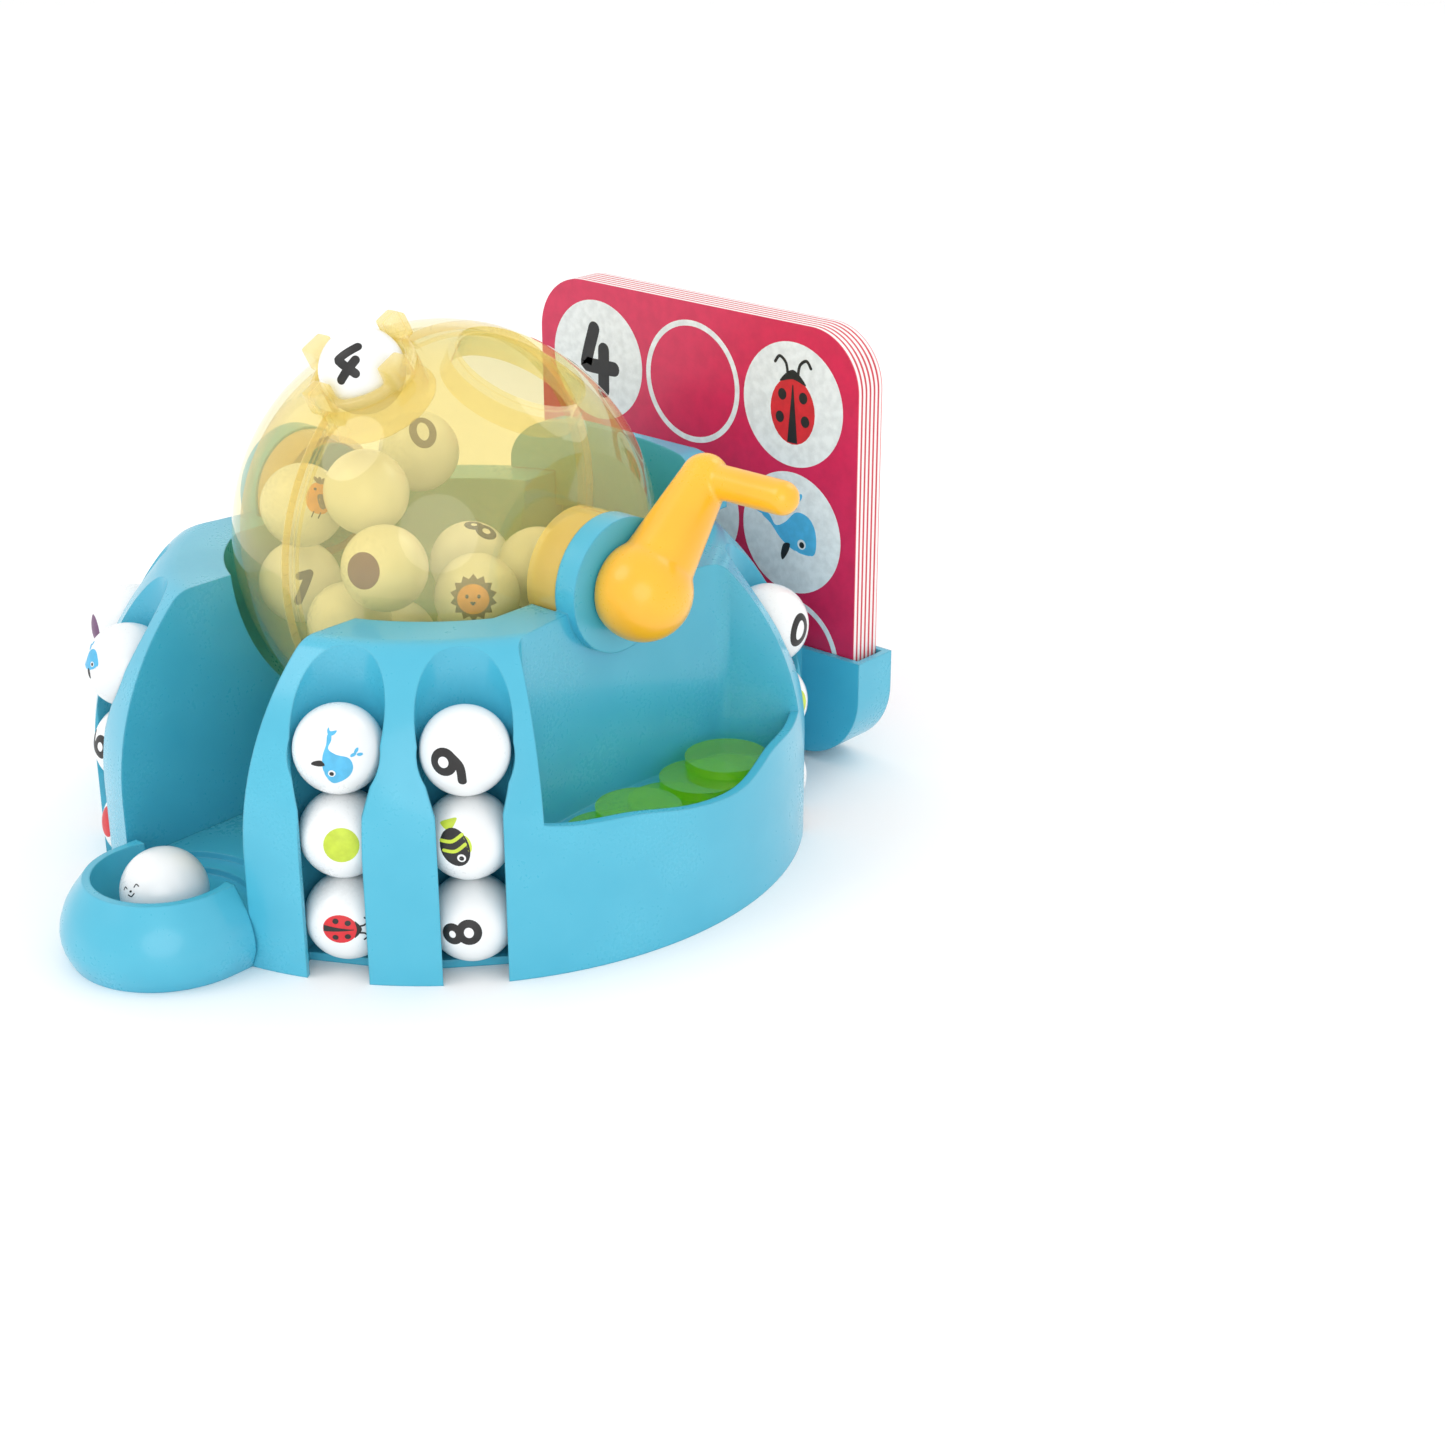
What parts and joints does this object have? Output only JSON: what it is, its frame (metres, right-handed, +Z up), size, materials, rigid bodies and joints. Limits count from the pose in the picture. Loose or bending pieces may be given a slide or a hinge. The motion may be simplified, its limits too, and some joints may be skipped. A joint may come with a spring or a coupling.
{
  "type": "bingo cage",
  "caption": "Tabletop bingo machine: crank-turned clear ball drum in a domed base with ball columns, chute and catching cup, token trays and a card rack.",
  "frame": {"origin": "on the table, under the centre of the drum", "axes": "+Z up, front (chute and cup) towards -Y, crank on +X, card rack towards +Y"},
  "size_m": [0.1973, 0.2369, 0.1466],
  "materials": {
    "base_blue": "smooth glossy light blue moulding",
    "crank_yellow": "smooth glossy yellow-orange moulding",
    "drum_clear_yellow": "clear yellow moulding, amber in its thick edges",
    "ball_white": "glossy white with small flat prints",
    "card_print": "laminated crimson print with white discs and rings",
    "token_clear_green": "clear lime discs with bright edges",
    "screw_steel": "plain zinc-plated screws"
  },
  "bodies": {
    "base": {"right_housing": "base_blue", "left_housing": "base_blue", "chute_body": "base_blue", "bottom_plate": "base_blue", "plate_screws": "screw_steel", "card_rack": "base_blue", "rack_screws": "screw_steel", "right_front_balls": "ball_white", "right_middle_balls": "ball_white", "right_rear_balls": "ball_white", "left_front_balls": "ball_white", "left_middle_balls": "ball_white", "left_rear_balls": "ball_white"},
    "drum": {"drum_right_half": "drum_clear_yellow", "drum_left_half": "drum_clear_yellow", "ball_seat": "drum_clear_yellow", "right_spindle": "base_blue", "left_spindle": "base_blue", "spindle_screws": "screw_steel", "crank": "crank_yellow", "drum_balls": "ball_white"},
    "drawn_ball": {"drawn_ball": "ball_white"},
    "cup_ball": {"cup_ball": "ball_white"},
    "front_card": {"front_card": "card_print"},
    "spare_cards": {"spare_cards": "card_print"},
    "tokens": {"tray_tokens": "token_clear_green"},
    "right_front_top_ball": {"right_front_top_ball": "ball_white"},
    "right_middle_top_ball": {"right_middle_top_ball": "ball_white"},
    "right_rear_top_ball": {"right_rear_top_ball": "ball_white"},
    "left_front_top_ball": {"left_front_top_ball": "ball_white"},
    "left_middle_top_ball": {"left_middle_top_ball": "ball_white"},
    "left_rear_top_ball": {"left_rear_top_ball": "ball_white"}
  },
  "joints": [
    {"name": "drum_spin", "type": "hinge", "parent": "base", "child": "drum", "pos_m": [0, 0, 0.084], "axis": [1, 0, 0], "continuous": true},
    {"name": "drawn_ball_lift", "type": "slide", "parent": "drum", "child": "drawn_ball", "axis": [0, -0.4664, 0.8846], "range_m": [0, 0.0025]},
    {"name": "cup_ball_lift", "type": "slide", "parent": "base", "child": "cup_ball", "axis": [0, 0, 1], "range_m": [0, 0.04]},
    {"name": "front_card_lift", "type": "slide", "parent": "base", "child": "front_card", "axis": [0, 0, 1], "range_m": [0, 0.1]},
    {"name": "spare_cards_lift", "type": "slide", "parent": "base", "child": "spare_cards", "axis": [0, 0, 1], "range_m": [0, 0.1]},
    {"name": "tokens_lift", "type": "slide", "parent": "base", "child": "tokens", "axis": [0, 0, 1], "range_m": [0, 0.013]},
    {"name": "right_front_top_ball_out", "type": "slide", "parent": "base", "child": "right_front_top_ball", "axis": [0.4787, -0.878, 0], "range_m": [0, 0.024]},
    {"name": "right_middle_top_ball_out", "type": "slide", "parent": "base", "child": "right_middle_top_ball", "axis": [0.7547, -0.6561, 0], "range_m": [0, 0.024]},
    {"name": "right_rear_top_ball_out", "type": "slide", "parent": "base", "child": "right_rear_top_ball", "axis": [0.7547, 0.6561, 0], "range_m": [0, 0.024]},
    {"name": "left_front_top_ball_out", "type": "slide", "parent": "base", "child": "left_front_top_ball", "axis": [-0.4787, -0.878, 0], "range_m": [0, 0.024]},
    {"name": "left_middle_top_ball_out", "type": "slide", "parent": "base", "child": "left_middle_top_ball", "axis": [-0.7547, -0.6561, 0], "range_m": [0, 0.024]},
    {"name": "left_rear_top_ball_out", "type": "slide", "parent": "base", "child": "left_rear_top_ball", "axis": [-0.7547, 0.6561, 0], "range_m": [0, 0.024]}
  ]
}
